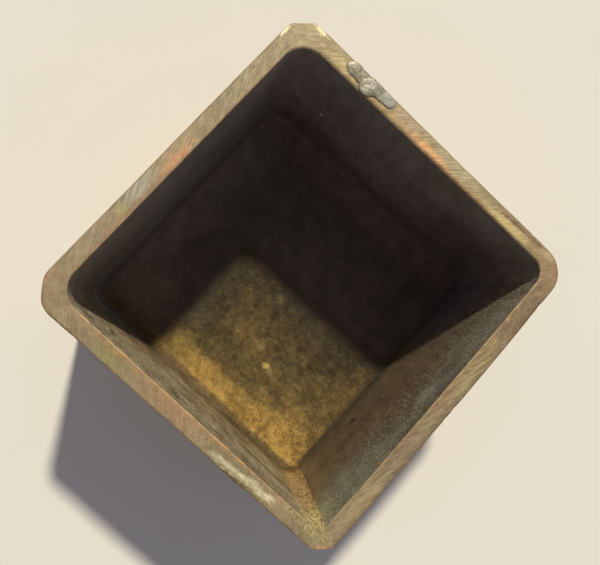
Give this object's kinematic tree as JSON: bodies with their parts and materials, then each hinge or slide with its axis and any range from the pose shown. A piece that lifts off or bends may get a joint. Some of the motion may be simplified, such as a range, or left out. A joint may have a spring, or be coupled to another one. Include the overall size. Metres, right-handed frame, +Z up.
{
  "type": "square brass planter pot",
  "caption": "Heavy open-topped square pot of thick brass plate with brazed corners, a let-in floor, filed outer corners and a soldered rim repair; it holds a plant or a lining.",
  "frame": {"origin": "on the ground under the middle of the pot", "axes": "+Z up out of the open mouth, -Y out of the front wall, +X out of the right wall"},
  "size_m": [0.102, 0.1024, 0.0769],
  "materials": {
    "wall_brass": "aged, file-dressed rim, dark patina inside",
    "floor_brass": "ochre and olive patina, pitted",
    "braze": "dimpled, as run",
    "solder": "dull grey, lumpy"
  },
  "bodies": {
    "root": {"front_wall": "wall_brass", "right_wall": "wall_brass", "back_wall": "wall_brass", "left_wall": "wall_brass", "floor_plate": "floor_brass", "front_left_corner_braze": "braze", "front_right_corner_braze": "braze", "back_right_corner_braze": "braze", "back_left_corner_braze": "braze", "front_floor_braze": "braze", "right_floor_braze": "braze", "back_floor_braze": "braze", "left_floor_braze": "braze", "rim_solder_patch": "solder"}
  },
  "joints": []
}
